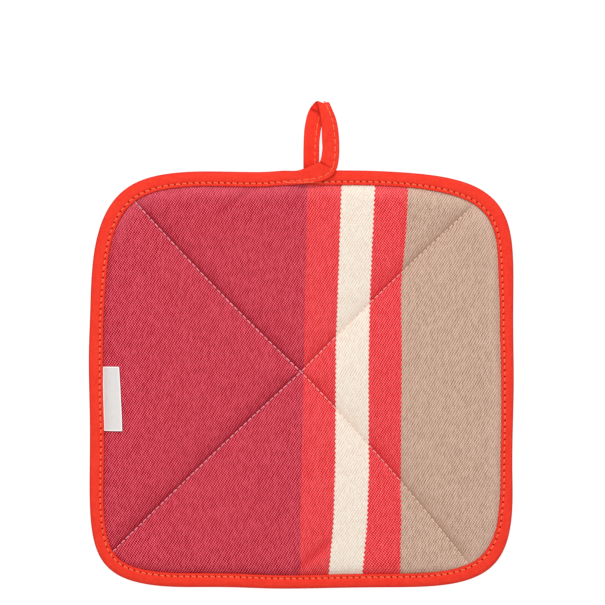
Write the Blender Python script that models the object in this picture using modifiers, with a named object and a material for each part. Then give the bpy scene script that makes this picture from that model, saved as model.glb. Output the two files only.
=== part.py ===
"""A quilted pot holder, lying face up on a table.

A padded square with rounded corners is quilted corner to corner, bound with a folded tape that
runs on past the top edge as a hanging loop, and carries a small blank label on its left side.
Metres, +Z up, +Y towards the loop. The origin is on the table, below the middle of the whole.
"""

from collections import namedtuple
from math import atan2, cos, exp, hypot, pi, radians, sin

import bmesh
import bpy
from mathutils import Vector

MM = 0.001

# The finished outline, over the binding. Each quarter of it is a superellipse with a power of
# its own across and along the pad: the higher the power, the straighter that side runs.
WIDTH = 199.2 * MM
HEIGHT = 195.8 * MM
Corner = namedtuple("Corner", "across along")
CORNERS = (
    Corner(across=4.0, along=7.8),  # top right
    Corner(across=6.2, along=4.1),  # top left
    Corner(across=6.3, along=7.9),  # bottom left
    Corner(across=5.8, along=7.0),  # bottom right
)
LOOP_REACH = 130.45 * MM  # from the pad's centre to the top of the loop
NEWTON_STEPS = 6

# Levels above the table.
EDGE_LEVEL = 4.2 * MM  # mid-plane of the bound edge
CLEARANCE = 0.3 * MM  # between pieces that are sewn together

# The pad.
CROWN = 3.2 * MM  # how far a panel's face stands over the stitched lines
BELLY = 4.4 * MM  # the same under the pad, before the table flattens it
SEAM_EASE = 6.5 * MM  # the face rises away from a seam over about this distance
EDGE_EASE = 3.0 * MM  # and away from the binding over this one
PAD_EDGE_HALF = 1.3 * MM  # half the pad's thickness where the tape grips it
SPOKES_PER_PANEL = 22
RINGS = 17  # from the crossing out to the binding, on each face
SPOKE_PULL = 0.75
RING_PULL = 0.7

# The rows of quilting cross here and end at these bearings from the pad's centre. A row bows
# sideways by up to its bow, counted counter-clockwise.
CROSSING = Vector((-0.3, 3.1)) * MM
Row = namedtuple("Row", "bearing bow")
QUILTING = (
    Row(bearing=44.9, bow=1.7 * MM),
    Row(bearing=133.2, bow=0.7 * MM),
    Row(bearing=222.0, bow=-0.6 * MM),
    Row(bearing=312.4, bow=2.2 * MM),
)

# The binding. Its face is widest along the top edge and narrowest down the right side.
TAPE_THICKNESS = 5.0 * MM  # over both of its sides, with the pad's edge between them
TAPE_WALL = 0.9 * MM
LIP_DROP = 0.15 * MM  # the stitched side is pulled in a little
Side = namedtuple("Side", "bearing face")
BINDING_FACES = (
    Side(bearing=0, face=5.6 * MM),
    Side(bearing=45, face=7.7 * MM),
    Side(bearing=90, face=7.1 * MM),
    Side(bearing=135, face=7.5 * MM),
    Side(bearing=180, face=6.2 * MM),
    Side(bearing=225, face=6.8 * MM),
    Side(bearing=270, face=6.4 * MM),
    Side(bearing=315, face=6.6 * MM),
    Side(bearing=360, face=5.6 * MM),
)
NOSE_STEPS = 6
BINDING_STEPS = 96
BINDING_PULL = 0.45

# The loop: closed tape, told by its stitched and its folded edge, from the centre of the pad.
# It leaves the left run of the binding, lies over the start of the right run, climbs as the
# front strand, rolls over at the top, and comes down to the table and in under the binding.
LOOP_TAPE = 1.4 * MM
Station = namedtuple("Station", "stitched_x stitched_y folded_x folded_y level")
LOOP = (
    Station(-2.3, 91.3, -2.3, 97.7, 7.80),
    Station(2.2, 91.5, 1.6, 98.9, 7.80),
    Station(6.7, 92.1, 5.9, 100.8, 7.80),
    Station(11.5, 93.3, 8.6, 102.0, 7.80),
    Station(15.3, 96.2, 9.4, 103.0, 7.80),
    Station(17.4, 100.6, 9.9, 105.0, 7.70),
    Station(18.0, 106.0, 10.0, 108.2, 7.60),
    Station(17.9, 112.6, 10.1, 112.6, 7.55),
    Station(17.3, 118.2, 9.9, 118.2, 7.50),
    Station(16.2, 122.9, 9.1, 123.1, 7.45),
    Station(14.4, 127.0, 8.2, 127.4, 6.90),
    Station(13.0, 129.4, 7.3, 129.7, 4.20),
    Station(12.2, 127.6, 4.5, 127.8, 1.65),
    Station(10.9, 124.3, 2.9, 124.3, 0.95),
    Station(9.8, 120.9, 2.1, 120.9, 0.80),
    Station(9.0, 117.0, 1.5, 117.0, 0.78),
    Station(8.3, 111.4, 1.2, 111.4, 0.78),
    Station(8.2, 105.0, 1.1, 105.0, 0.78),
    Station(8.1, 98.4, 1.1, 98.4, 0.78),
    Station(8.1, 92.4, 1.1, 92.4, 0.78),
)
LOOP_STEPS_BETWEEN = 3
LOOP_COLUMNS = 4

# The label, folded and caught in the left side of the binding.
LABEL_LENGTH = 30.2 * MM
LABEL_REACH = 7.8 * MM  # clear of the binding's lip
LABEL_THICKNESS = 0.6 * MM
LABEL_MIDDLE = -9.3 * MM  # along Y, from the centre of the pad
LABEL_FLARE = 0.9 * MM  # it reaches this much further at its lower end
LABEL_COLUMNS = 5
LABEL_ROWS = 8


# ---- the outline ---------------------------------------------------------------------------


def on_edge(bearing):
    """The point of the finished edge at a bearing from the pad's centre, found by Newton."""
    corner = CORNERS[int(bearing // (pi / 2)) % 4]
    across = abs(cos(bearing)) / (WIDTH / 2)
    along = abs(sin(bearing)) / (HEIGHT / 2)
    reach = 1 / max(across, along)
    for _ in range(NEWTON_STEPS):
        sideways = (reach * across) ** corner.across
        upwards = (reach * along) ** corner.along
        slope = (corner.across * sideways + corner.along * upwards) / reach
        reach -= (sideways + upwards - 1) / slope
    return reach * Vector((cos(bearing), sin(bearing)))


def edge_point(bearing, inset=0.0):
    """The point of the finished edge at a bearing, or the one inset square to the edge."""
    step = radians(0.1)
    heading = (on_edge(bearing + step) - on_edge(bearing - step)).normalized()
    return on_edge(bearing) + inset * Vector((-heading.y, heading.x))


def binding_face(bearing):
    """Width of the binding's face at a bearing, eased between the measured sides."""
    degrees = (bearing * 180 / pi) % 360
    index = min(int(degrees // 45), len(BINDING_FACES) - 2)
    before, after = BINDING_FACES[index : index + 2]
    share = (degrees - before.bearing) / (after.bearing - before.bearing)
    share = (1 - cos(pi * share)) / 2
    return before.face + share * (after.face - before.face)


def crowded(share, pull):
    """A share of a span, from 0 to 1, drawn towards its nearer end."""
    return share - pull * sin(2 * pi * share) / (2 * pi)


# ---- the pad's surface ---------------------------------------------------------------------


def row_end(row):
    bearing = radians(row.bearing)
    return edge_point(bearing, binding_face(bearing) + CLEARANCE)


def to_quilting(point):
    """Distance from a point to the nearest row of quilting."""
    distances = []
    for row in QUILTING:
        run = row_end(row) - CROSSING
        heading = run.normalized()
        offset = point - CROSSING
        share = offset.dot(heading) / run.length
        if share <= 0:
            distances.append(offset.length)
            continue
        sideways = heading.x * offset.y - heading.y * offset.x
        distances.append(abs(sideways - bow_at(row.bow, share)))
    return min(distances)


def bow_at(bow, share):
    """How far a line bowed by this much strays at a share of its run."""
    return bow * 4 * share * max(0.0, 1 - share)


def to_lip(point):
    """Distance from a point of the pad in from the binding's stitched lip, 0 under the tape."""
    bearing = atan2(point.y, point.x)
    lip = edge_point(bearing, binding_face(bearing) + CLEARANCE)
    inward = (edge_point(bearing, 2 * binding_face(bearing)) - lip).normalized()
    return max(0.0, (point - lip).dot(inward))


def fullness(point):
    """From 0 on a sewn line to nearly 1 in the middle of a panel."""
    from_seam = 1 - exp(-to_quilting(point) / SEAM_EASE)
    from_lip = 1 - exp(-to_lip(point) / EDGE_EASE)
    return from_seam * from_lip


def face_level(point):
    return EDGE_LEVEL + PAD_EDGE_HALF + CROWN * fullness(point)


def back_level(point):
    """The underside, flat on the table where its belly would reach below it."""
    return max(0.0, EDGE_LEVEL - PAD_EDGE_HALF - BELLY * fullness(point))


# ---- making objects ------------------------------------------------------------------------


def clear_scene():
    for obj in list(bpy.data.objects):
        bpy.data.objects.remove(obj, do_unlink=True)


def cotton(name, colour, roughness):
    material = bpy.data.materials.new(name)
    material.use_nodes = True
    material.diffuse_color = (*colour, 1.0)
    shader = material.node_tree.nodes["Principled BSDF"]
    shader.inputs["Base Color"].default_value = (*colour, 1.0)
    shader.inputs["Roughness"].default_value = roughness
    shader.inputs["Metallic"].default_value = 0.0
    return material


def piece(name, form, material, collection, parent):
    """One named, smooth-shaded object from a bmesh."""
    bmesh.ops.recalc_face_normals(form, faces=form.faces)
    mesh = bpy.data.meshes.new(name)
    form.to_mesh(mesh)
    form.free()
    mesh.shade_smooth()
    mesh.materials.append(material)
    obj = bpy.data.objects.new(name, mesh)
    collection.objects.link(obj)
    obj.parent = parent
    return obj


def mapped_grid(columns, rows, place):
    """A grid of faces whose point at shares (u, v) of its sides lies at place(u, v)."""
    form = bmesh.new()
    bmesh.ops.create_grid(form, x_segments=columns, y_segments=rows, size=0.5)
    for vertex in form.verts:
        vertex.co = place(vertex.co.x + 0.5, vertex.co.y + 0.5)
    return form


def thicken(obj, thickness, offset):
    """Gives an open surface its wall. Offset -1 puts the wall behind the surface, 0 astride."""
    wall = obj.modifiers.new("wall", "SOLIDIFY")
    wall.thickness = thickness
    wall.offset = offset
    wall.use_even_offset = True
    return obj


# ---- the pieces ----------------------------------------------------------------------------


def quilted_pad(material, collection, parent):
    """A sphere pressed into the pad: its poles are the crossing, its equator the pad's edge."""
    panels = len(QUILTING)
    spokes = panels * SPOKES_PER_PANEL
    levels = RINGS + 2
    nose = TAPE_WALL + CLEARANCE

    def spoke(index):
        """Bearing of a spoke, and the bow that it shares with the rows either side of it."""
        panel, step = divmod(index % spokes, SPOKES_PER_PANEL)
        row, following = QUILTING[panel], QUILTING[(panel + 1) % panels]
        share = crowded(step / SPOKES_PER_PANEL, SPOKE_PULL)
        sweep = (following.bearing - row.bearing) % 360
        bearing = radians(row.bearing + share * sweep)
        return bearing, row.bow + share * (following.bow - row.bow)

    def place(index, level):
        """Where the point on a spoke goes. Level 0 is the crossing, the last is the edge."""
        bearing, bow = spoke(index)
        if level > RINGS:
            shoulder = TAPE_THICKNESS / 2
            return edge_point(bearing, shoulder if level < levels else nose)
        share = crowded(level / RINGS, RING_PULL)
        run = edge_point(bearing, binding_face(bearing) + CLEARANCE) - CROSSING
        sideways = Vector((-run.y, run.x)).normalized()
        return CROSSING + share * run + bow_at(bow, share) * sideways

    form = bmesh.new()
    bmesh.ops.create_uvsphere(form, u_segments=spokes, v_segments=2 * levels, radius=1.0)
    for vertex in form.verts:
        index = round(atan2(vertex.co.y, vertex.co.x) / (2 * pi) * spokes)
        slope = atan2(hypot(vertex.co.x, vertex.co.y), abs(vertex.co.z))
        level = round(slope / (pi / 2) * levels)
        point = place(index, level)
        if level == levels:
            height = EDGE_LEVEL
        elif vertex.co.z > 0:
            height = face_level(point)
        else:
            height = back_level(point)
        vertex.co = (point.x, point.y, height)
    return piece("quilted_pad", form, material, collection, parent)


def edge_binding(material, collection, parent):
    """Tape folded over the edge: its section runs from the upper lip round to the lower one."""
    half = TAPE_THICKNESS / 2
    turns = [pi / 2 - step * pi / NOSE_STEPS for step in range(NOSE_STEPS + 1)]

    def section(face):
        """(inset, height) of the tape's outer side, for a face of this width."""
        upper = [(face, half - LIP_DROP), (face / 2 + half / 2, half)]
        nose = [(half - half * cos(turn), half * sin(turn)) for turn in turns]
        lower = [(inset, -height) for inset, height in reversed(upper)]
        return upper + nose + lower

    columns = len(section(2 * half)) - 1

    def place(u, v):
        side, step = divmod(u * BINDING_STEPS, BINDING_STEPS / 4)
        bearing = pi / 4 + pi / 2 * (side + crowded(step * 4 / BINDING_STEPS, BINDING_PULL))
        inset, height = section(binding_face(bearing))[round(v * columns)]
        point = edge_point(bearing, inset)
        return (point.x, point.y, EDGE_LEVEL + height)

    form = mapped_grid(BINDING_STEPS, columns, place)
    bmesh.ops.remove_doubles(form, verts=form.verts, dist=0.01 * MM)
    obj = piece("edge_binding", form, material, collection, parent)
    return thicken(obj, TAPE_WALL, -1.0)


def smooth_curve(points, share):
    """A point on the smooth curve through the given points (Catmull-Rom)."""
    span = share * (len(points) - 1)
    index = min(int(span), len(points) - 2)
    t = span - index
    before = points[max(index - 1, 0)]
    start, end = points[index], points[index + 1]
    after = points[min(index + 2, len(points) - 1)]
    return 0.5 * (
        2 * start
        + (end - before) * t
        + (2 * before - 5 * start + 4 * end - after) * t**2
        + (3 * start - before - 3 * end + after) * t**3
    )


def hanging_loop(material, collection, parent):
    stitched = [Vector((s.stitched_x, s.stitched_y, s.level)) * MM for s in LOOP]
    folded = [Vector((s.folded_x, s.folded_y, s.level)) * MM for s in LOOP]

    def place(u, v):
        return smooth_curve(stitched, u).lerp(smooth_curve(folded, u), v)

    steps = LOOP_STEPS_BETWEEN * (len(LOOP) - 1)
    form = mapped_grid(steps, LOOP_COLUMNS, place)
    obj = piece("hanging_loop", form, material, collection, parent)
    return thicken(obj, LOOP_TAPE, 0.0)


def label(material, collection, parent):
    """A thin tab that starts at the binding's lip and follows the pad's face."""

    def place(u, v):
        y = LABEL_MIDDLE + (v - 0.5) * LABEL_LENGTH
        bearing = atan2(y, -WIDTH / 2)
        lip = edge_point(bearing, binding_face(bearing) + CLEARANCE + LABEL_THICKNESS)
        reach = LABEL_REACH + (0.5 - v) * LABEL_FLARE
        point = Vector((lip.x + u * reach, y))
        return (point.x, point.y, face_level(point) + CLEARANCE)

    form = mapped_grid(LABEL_COLUMNS, LABEL_ROWS, place)
    obj = piece("label", form, material, collection, parent)
    return thicken(obj, LABEL_THICKNESS, 1.0)


def main():
    clear_scene()
    collection = bpy.data.collections.new("pot_holder")
    bpy.context.scene.collection.children.link(collection)
    whole = bpy.data.objects.new("pot_holder_frame", None)
    whole.location = (0.0, (HEIGHT / 2 - LOOP_REACH) / 2, 0.0)
    collection.objects.link(whole)

    twill = cotton("striped_twill", (0.58, 0.05, 0.08), 0.9)
    tape = cotton("binding_tape", (0.92, 0.05, 0.03), 0.85)
    satin = cotton("label_satin", (0.75, 0.72, 0.70), 0.5)

    quilted_pad(twill, collection, whole)
    edge_binding(tape, collection, whole)
    hanging_loop(tape, collection, whole)
    label(satin, collection, whole)


main()
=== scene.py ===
"""Looks of a quilted pot holder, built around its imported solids.

It lies face up under a camera that looks straight down. Pieces are shaped in millimetres from
the pad's centre, and turned into metres in the row frame when their meshes are made.
"""

from collections import namedtuple
from math import cos, pi, radians, sin, tau

import bpy
import numpy as np
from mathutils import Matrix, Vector, noise
from mathutils.bvhtree import BVHTree
from numpy.linalg import norm


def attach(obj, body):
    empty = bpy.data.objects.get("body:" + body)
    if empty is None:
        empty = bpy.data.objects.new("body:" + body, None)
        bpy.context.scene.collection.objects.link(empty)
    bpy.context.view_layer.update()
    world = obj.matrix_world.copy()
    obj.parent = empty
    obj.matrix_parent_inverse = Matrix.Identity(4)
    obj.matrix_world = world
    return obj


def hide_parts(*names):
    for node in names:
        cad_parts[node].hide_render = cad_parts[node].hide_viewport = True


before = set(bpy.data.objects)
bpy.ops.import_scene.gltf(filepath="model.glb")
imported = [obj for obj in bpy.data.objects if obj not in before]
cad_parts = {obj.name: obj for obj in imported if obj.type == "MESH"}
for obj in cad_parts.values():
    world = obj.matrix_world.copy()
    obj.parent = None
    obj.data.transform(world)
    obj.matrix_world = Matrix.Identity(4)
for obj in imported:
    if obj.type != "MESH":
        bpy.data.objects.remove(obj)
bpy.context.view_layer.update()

MM = 0.001
PAD_CENTRE = np.array((0.0, -16.275, 0.0))  # in the row frame

# The outline over the binding, as in the solids: each quarter is a superellipse with its own
# powers across and along the pad.
WIDTH = 199.2
HEIGHT = 195.8
ACROSS_POWERS = np.array((4.0, 6.2, 6.3, 5.8))
ALONG_POWERS = np.array((7.8, 4.1, 7.9, 7.0))
NEWTON_STEPS = 6
# How far the sewn edge strays outwards from that, by bearing.
DRIFT_BEARINGS = np.array(
    (0, 15, 32, 45, 60, 75, 92, 102, 120, 145, 160, 175, 195, 215, 235, 248, 265, 290, 308, 325)
    + (339, 360)
)
DRIFTS = np.array(
    (0.5, 0.25, 0.6, 0.0, -0.1, 0.2, 0.2, -0.6, 0.0, 0.0, -0.3, 0.25, -0.3, 0.1, 0.6, 0.1, 0.8)
    + (0.25, 0.65, 0.6, -0.15, 0.5)
)
CLEARANCE = 0.3  # between the pad and the tape's lip
EDGE_LEVEL = 4.2  # the middle of the binding, over the table

# Lumps of smooth noise. Beside a seam they rise over one distance and fade over another.
Wave = namedtuple("Wave", "size height seed rise fade", defaults=(0, 0))
SWELL = Wave(34, 0.08, 1)  # of the panels, as a share of the crown
PUCKER = Wave(3.4, 0.35, 2, 1.3, 6)  # beside the quilting rows
PUCKER_LEAN = 0.35
ROWS_APART = 31.0  # in the noise, so that they differ
RUFFLE = Wave(4.2, 0.3, 3, 1.0, 5)  # along the tape's lip
RUFFLE_REACH = 0.3
LIP_RADIUS = 92
RIPPLE = Wave(7.0, 0.1, 4)  # of the tape
SIDES_APART = 9  # in the noise, for its two faces
PINCH = 0.05  # how far it rises and sinks by its stitches
PINCH_REACH = 0.9

# The pad.
PAD_EDGE_HALF = 1.3
CROWN = 2.9  # how far a panel of the face swells above the edge
BELLY = 4.4  # and one of the back below it, until it lies on the table
SEAM_EASE = 8.0  # the panels swell over about this distance from a row
PULL_EASE = 1.2  # but a share of that over this, where the thread pulls in
PULL_SHARE = 0.07
EDGE_EASE = 2.2  # they swell over about this distance from the lip
PAD_NOSE = 1.2  # the tape's wall and the clearance inside it
RINGS = 104  # from the crossing out to the binding's lip
SPOKE_PULL = 0.72  # how much the cover's faces crowd by the rows
CROSSING = np.array((0.0, 3.3))
Row = namedtuple("Row", "bearing bow first")  # first: from the crossing to its first stitch
QUILTING = (
    Row(45.9, 0.9, 1.75),
    Row(132.7, 1.2, 2.85),
    Row(221.9, -0.6, 1.75),
    Row(310.9, 1.6, 0.0),
)
QUILT_PITCH = 2.85
QUILT_NEEDLE = 0.45
ROW_STOP = 0.995  # a row's last stitch, as a share of its length
Crease = namedtuple("Crease", "start end depth width")
RIDGE = 0.7  # height of the ridge beside a crease, as a share of its depth
RUN_OUT = 2.2  # over 1, a crease runs on past its ends
CREASES = (
    Crease((-19.8, 92.5), (-37.2, 78.9), 0.65, 2.0),
    Crease((-0.9, 89.8), (-2.4, 82.3), 0.55, 1.8),
    Crease((13.1, -76.4), (-1.9, -89.5), 1.0, 2.2),
)

# The binding tape.
HALF_TAPE = 2.5
TAPE_WALL = 0.9
SIDE_BEARINGS = np.array(
    (0, 15, 30, 45, 66, 90, 115, 135, 150, 165, 173, 185, 198, 212, 240, 270, 300, 318)
    + (326, 335, 345, 360)
)
SIDE_FACES = np.array(
    (6.0, 6.3, 7.2, 7.8, 6.9, 7.1, 7.1, 7.5, 7.2, 6.6, 6.9, 6.65, 6.95, 6.7, 6.8, 6.5, 6.6, 7.3)
    + (6.5, 5.7, 5.5, 6.0)
)
SEAM_IN = 1.6  # from the lip to the stitching on the pad
LOOP_SEAM_IN = 2.0
FURROW = 0.62  # half the width that the seam sinks in
LIP_EASE = 0.4
TAPE_SWELL = 0.1
SLACK = 0.05  # its faces lie this much farther in
TAPE_PITCH = 2.95
TAPE_NEEDLE = 0.58
LOOP_PITCH = 3.4
TAPE_WEAVE = 0.42
TAPE_STEP = 1.2
OUTLINE_STEPS = 3000
TAPE_START = 93.5  # bearing of its first end, under its last run
TUCK_RUN = 14  # its first end grows to full size over this length
TUCKED_IN = 0.35
TAPE_LEAVES = -265.4  # and where it leaves the pad, a turn later
LEAVING = 5  # stations back from there that the loop's curve heads from
CHANGE_OVER = 14  # stations in which its seam becomes the loop's

# The loop's tape: x, y of its stitched edge, x, y of its folded edge, level, half thickness.
LOOP = (
    (-2.3, 91.1, -2.3, 97.9, 5.3, 2.0),
    (2.2, 91.5, 1.6, 98.9, 7.5, 0.85),
    (6.7, 92.1, 5.6, 100.6, 7.85, 0.72),
    (11.4, 93.4, 7.9, 101.6, 8.0, 0.7),
    (14.6, 95.4, 8.7, 101.9, 8.15, 0.7),
    (16.0, 97.1, 8.8, 101.95, 8.25, 0.7),
    (16.4, 97.8, 8.85, 102.0, 7.5, 0.68),
    (17.1, 99.6, 9.0, 102.4, 7.5, 0.7),
    (17.7, 102.8, 9.5, 104.3, 7.6, 0.7),
    (18.0, 107.0, 10.0, 108.2, 7.6, 0.7),
    (17.9, 112.6, 9.8, 112.6, 7.55, 0.7),
    (17.3, 118.2, 9.65, 118.2, 7.5, 0.7),
    (16.2, 122.9, 9.1, 123.1, 7.45, 0.7),
    (14.4, 127.0, 8.2, 127.4, 6.9, 0.7),
    (13.0, 129.7, 7.2, 130.3, 4.2, 0.7),
    (12.2, 127.6, 4.5, 127.8, 1.65, 0.7),
    (10.9, 124.3, 2.9, 124.3, 1.6, 0.7),
    (10.0, 120.9, 2.1, 120.9, 2.1, 0.7),
    (9.36, 117.0, 1.5, 117.0, 2.3, 0.7),
    (8.7, 111.4, 1.2, 111.4, 2.1, 0.7),
    (8.6, 105.0, 1.1, 105.0, 1.3, 0.7),
    (8.4, 98.4, 1.1, 98.4, 0.97, 0.7),
    (8.3, 92.4, 1.1, 92.4, 0.95, 0.7),
)
LOOP_STATIONS = 170
Sag = namedtuple("Sag", "x y depth width height")
TOP_SAG = Sag(10.2, 129.4, 0.8, 1.6, 4)  # of the fold at the top
LOOP_CREASE = Crease((4.2, 127.0), (9.1, 125.0), 0.8, 0.5)
ROOT_PLEAT = Crease((6.5, 103.3), (13.6, 99.2), 1.0, 0.42)
UNDER_LOOP = 4.0  # the strand behind is all below this
LOOP_FROM = 98  # y that the loop is above
PLEAT_TO = 106  # its pleat is below this
CREASED_FROM = 117.4  # and its crease is above this
# Painted shade on the strand behind, deepening as it goes down under the root:
FOOT = (104.5, 98.5)  # y where the strand behind starts and stops darkening
FOOT_SHADE = 0.8
FIXING = ((-6.0, 92.25), (12.0, 92.35))  # the stitching over the loop's root

# The label.
LABEL_LENGTH = 30.2
LABEL_REACH = 7.5
LABEL_TUCK = 0.9  # how far it goes in under the tape
LABEL_MIDDLE = -9.3
LABEL_FLARE = 0.95  # how much farther its fold is out at its lower end
LABEL_PLY = 0.18
LABEL_GAP = 0.02  # half the gap between its two plies
SATIN_RIB = 0.32
LABEL_DROP = 1.6  # how far from its cut ends it has come down onto the pad
LABEL_LIFT = 0.5  # how far its fold lifts off again
LABEL_CURL = 0.25  # and how much more its corners do

# The cloth of the face: a twill whose floats cross two picks, three threads to a rib.
WARP_PITCH = 0.4155
RIB_RISE = 2.205
CLOTH_LEFT, CLOTH_RIGHT = -110.0, 110.0
# A yarn's colours. crest and hollow are the weave's light and dark tones: partly the yarns' own
# colours, partly painted highlight on the ribs and painted shade in their hollows. fold is the
# colour of the painted shade by the rows, creases, lips and needle holes.
Yarn = namedtuple("Yarn", "crest body hollow fold thread dots")
WINE = Yarn((255, 130, 150), (216, 24, 50), (128, 0, 4), (138, 0, 24), (255, 174, 186), 0.48)
CORAL = Yarn((255, 136, 140), (255, 54, 60), (196, 2, 8), (206, 30, 40), (255, 176, 172), 0.42)
CREAM = Yarn(
    (255, 253, 241), (255, 242, 226), (234, 200, 178), (246, 217, 199), (252, 236, 220), 0.06
)
TAUPE = Yarn(
    (248, 218, 198), (204, 168, 148), (152, 112, 90), (176, 133, 114), (246, 216, 196), 0.27
)
STRIPES = ((CLOTH_LEFT, WINE), (0.4, CORAL), (15.7, CREAM), (31.1, CORAL), (46.9, TAUPE))
# Shares of painted shade in the cloth of the face, in the yarns' fold colour.
ROW_SHADE = 0.43  # close by a quilting row, above it
PANEL_SHADE = 0.22  # and farther from it
CREASE_SHADE = 0.5  # in a crease a millimetre deep
LIP_SHADE = 0.3  # along the tape's lower lip
HOLE_SHADE = 0.6  # in the needle holes
# Painted shadow, in a darker colour of its own:
LABEL_SHADE = 0.6  # of a deep shade, by the label's rims
# Painted highlight, in the crests' colour:
LIP_LIGHT = 0.17  # of the crests' colour, along its upper and right lips
LEFT_LEAN = 0.045  # how much the threads at the far left lean to the right
# How far each stripe's left side strays from a straight thread, up the face.
STRIPE_LEVELS = (-90, -68, -45, -15, 15, 45, 68, 90)
STRIPE_DRIFTS = {
    0.4: (-1.0, -1.2, -0.7, 0.0, 0.7, 1.2, 1.8, 2.1),
    15.7: (-3.1, -1.2, -0.4, -0.1, 0.0, 1.1, 1.8, 2.7),
    31.1: (-3.0, -0.9, 0.1, 0.0, 0.0, 0.9, 1.9, 2.9),
    46.9: (-0.6, -0.2, -0.3, -0.2, 0.1, -0.2, 2.0, 3.1),
}


# ---- the outline ----


def unit(vectors):
    return vectors / norm(vectors, axis=-1, keepdims=True)


def turned_left(vectors):
    return np.stack((-vectors[..., 1], vectors[..., 0]), axis=-1)


def eased_table(bearing, bearings, values):
    """A value told at some bearings, in degrees, and eased between them."""
    degrees = np.degrees(bearing) % 360
    index = np.searchsorted(bearings, degrees, side="right") - 1
    index = np.clip(index, 0, len(bearings) - 2)
    share = (degrees - bearings[index]) / (bearings[index + 1] - bearings[index])
    share = (1 - np.cos(pi * share)) / 2
    return values[index] + share * (values[index + 1] - values[index])


def on_edge(bearing):
    quarter = np.floor(bearing / (pi / 2)).astype(int) % 4
    across_power, along_power = ACROSS_POWERS[quarter], ALONG_POWERS[quarter]
    across = np.abs(np.cos(bearing)) / (WIDTH / 2)
    along = np.abs(np.sin(bearing)) / (HEIGHT / 2)
    reach = 1 / np.maximum(across, along)
    for _ in range(NEWTON_STEPS):
        sideways = (reach * across) ** across_power
        upwards = (reach * along) ** along_power
        slope = (across_power * sideways + along_power * upwards) / reach
        reach = reach - (sideways + upwards - 1) / slope
    reach = reach + eased_table(bearing, DRIFT_BEARINGS, DRIFTS)
    return reach[..., None] * np.stack((np.cos(bearing), np.sin(bearing)), axis=-1)


def edge_point(bearing, inset=0.0):
    """The point of the finished edge at a bearing, or the one inset square to the edge."""
    bearing = np.asarray(bearing, float)
    step = radians(0.1)
    heading = unit(on_edge(bearing + step) - on_edge(bearing - step))
    return on_edge(bearing) + np.asarray(inset)[..., None] * turned_left(heading)


def binding_face(bearing):
    return eased_table(bearing, SIDE_BEARINGS, SIDE_FACES)


def bow_at(bow, share):
    return bow * 4 * share * np.maximum(0, 1 - share)


def waves(points, wave):
    """Smooth noise at each point, up to about the wave's height either way."""
    offset = Vector((wave.seed * 17.3, wave.seed * -9.1, wave.seed * 5.7))
    raised = [noise.noise(Vector(point).to_3d() / wave.size + offset) for point in points]
    return wave.height * np.array(raised)


# ---- the pad ----


def row_end(row):
    bearing = np.array(radians(row.bearing))
    return edge_point(bearing, binding_face(bearing) + CLEARANCE)


def to_quilting(points):
    """Of the nearest row: the distance to it, which is less than 0 below it, the length along
    it from the crossing, the stitches to there, and its number. Last is how clear it is of the
    next row, when that one is on the point's other side: 0 halfway between them, 1 if not."""
    distances, lengths, counts = [], [], []
    offset = points - CROSSING
    for row in QUILTING:
        run = row_end(row) - CROSSING
        reach = norm(run)
        heading = run / reach
        share = offset @ heading / reach
        sideways = heading[0] * offset[:, 1] - heading[1] * offset[:, 0]
        beside = (sideways - bow_at(row.bow, np.clip(share, 0, 1))) * np.sign(heading[0])
        distances.append(np.where(share <= 0, norm(offset, axis=1), beside))
        lengths.append(share * reach)
        first = row.first / reach
        stitches = round((ROW_STOP - first) * reach / QUILT_PITCH)
        counts.append((share - first) * stitches / (ROW_STOP - first))
    distances = np.array(distances)
    nearest, following = np.abs(distances).argsort(axis=0)[:2]
    every = np.arange(len(points))
    lengths, counts = np.array(lengths)[nearest, every], np.array(counts)[nearest, every]
    near, next_near = distances[nearest, every], distances[following, every]
    clear = 1 - 2 * np.abs(near) / (np.abs(near) + np.abs(next_near) + 1e-6)
    return near, lengths, counts, nearest, np.where(near * next_near > 0, 1, clear)


def to_lip(points):
    bearing = np.arctan2(points[:, 1], points[:, 0])
    face = binding_face(bearing)
    lip = edge_point(bearing, face + CLEARANCE)
    inward = unit(edge_point(bearing, 2 * face) - lip)
    return np.maximum(0, ((points - lip) * inward).sum(axis=1))


def pressed(crease, points):
    """Depth of the groove along a crease, with a low ridge on its left."""
    start, end = np.array(crease.start), np.array(crease.end)
    run = end - start
    length = norm(run)
    offset = points - start
    share = offset @ run / length**2
    taper = np.clip(1 - (2 * share - 1) ** 2 / RUN_OUT, 0, 1)
    beside = (offset @ turned_left(run)) / length
    groove = np.exp(-((beside / crease.width) ** 2))
    ridge = np.exp(-(((beside - 2 * crease.width) / (1.4 * crease.width)) ** 2))
    return crease.depth * taper * (groove - RIDGE * ridge)


def pressed_in(points):
    return sum(pressed(crease, points) for crease in CREASES)


def risen(distance, ease):
    """0 at a seam or lip, and near 1 a few times its ease away."""
    return 1 - np.exp(-distance / ease)


def gathers(places, distance, wave):
    """A wave's lumps at a distance from a seam."""
    lumps = waves(np.column_stack(places), wave)
    return lumps * np.exp(-distance / wave.fade) * risen(distance, wave.rise)


def pad_level(points, front):
    """Height of the face or the back, with its puckers and creases."""
    seam, along, _, row, _ = to_quilting(points)
    seam = np.abs(seam)
    lip = to_lip(points)
    pulled = (1 - PULL_SHARE) * risen(seam, SEAM_EASE) + PULL_SHARE * risen(seam, PULL_EASE)
    fullness = pulled * risen(lip, EDGE_EASE)
    if not front:
        return np.maximum(0, EDGE_LEVEL - PAD_EDGE_HALF - BELLY * fullness)
    round_pad = np.arctan2(points[:, 1], points[:, 0]) * LIP_RADIUS
    height = CROWN * fullness * (1 + waves(points, SWELL))
    height += gathers((along + PUCKER_LEAN * seam, row * ROWS_APART), seam, PUCKER)
    height += gathers((round_pad, lip * RUFFLE_REACH), lip, RUFFLE)
    return EDGE_LEVEL + PAD_EDGE_HALF + height - pressed_in(points) * fullness


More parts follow.
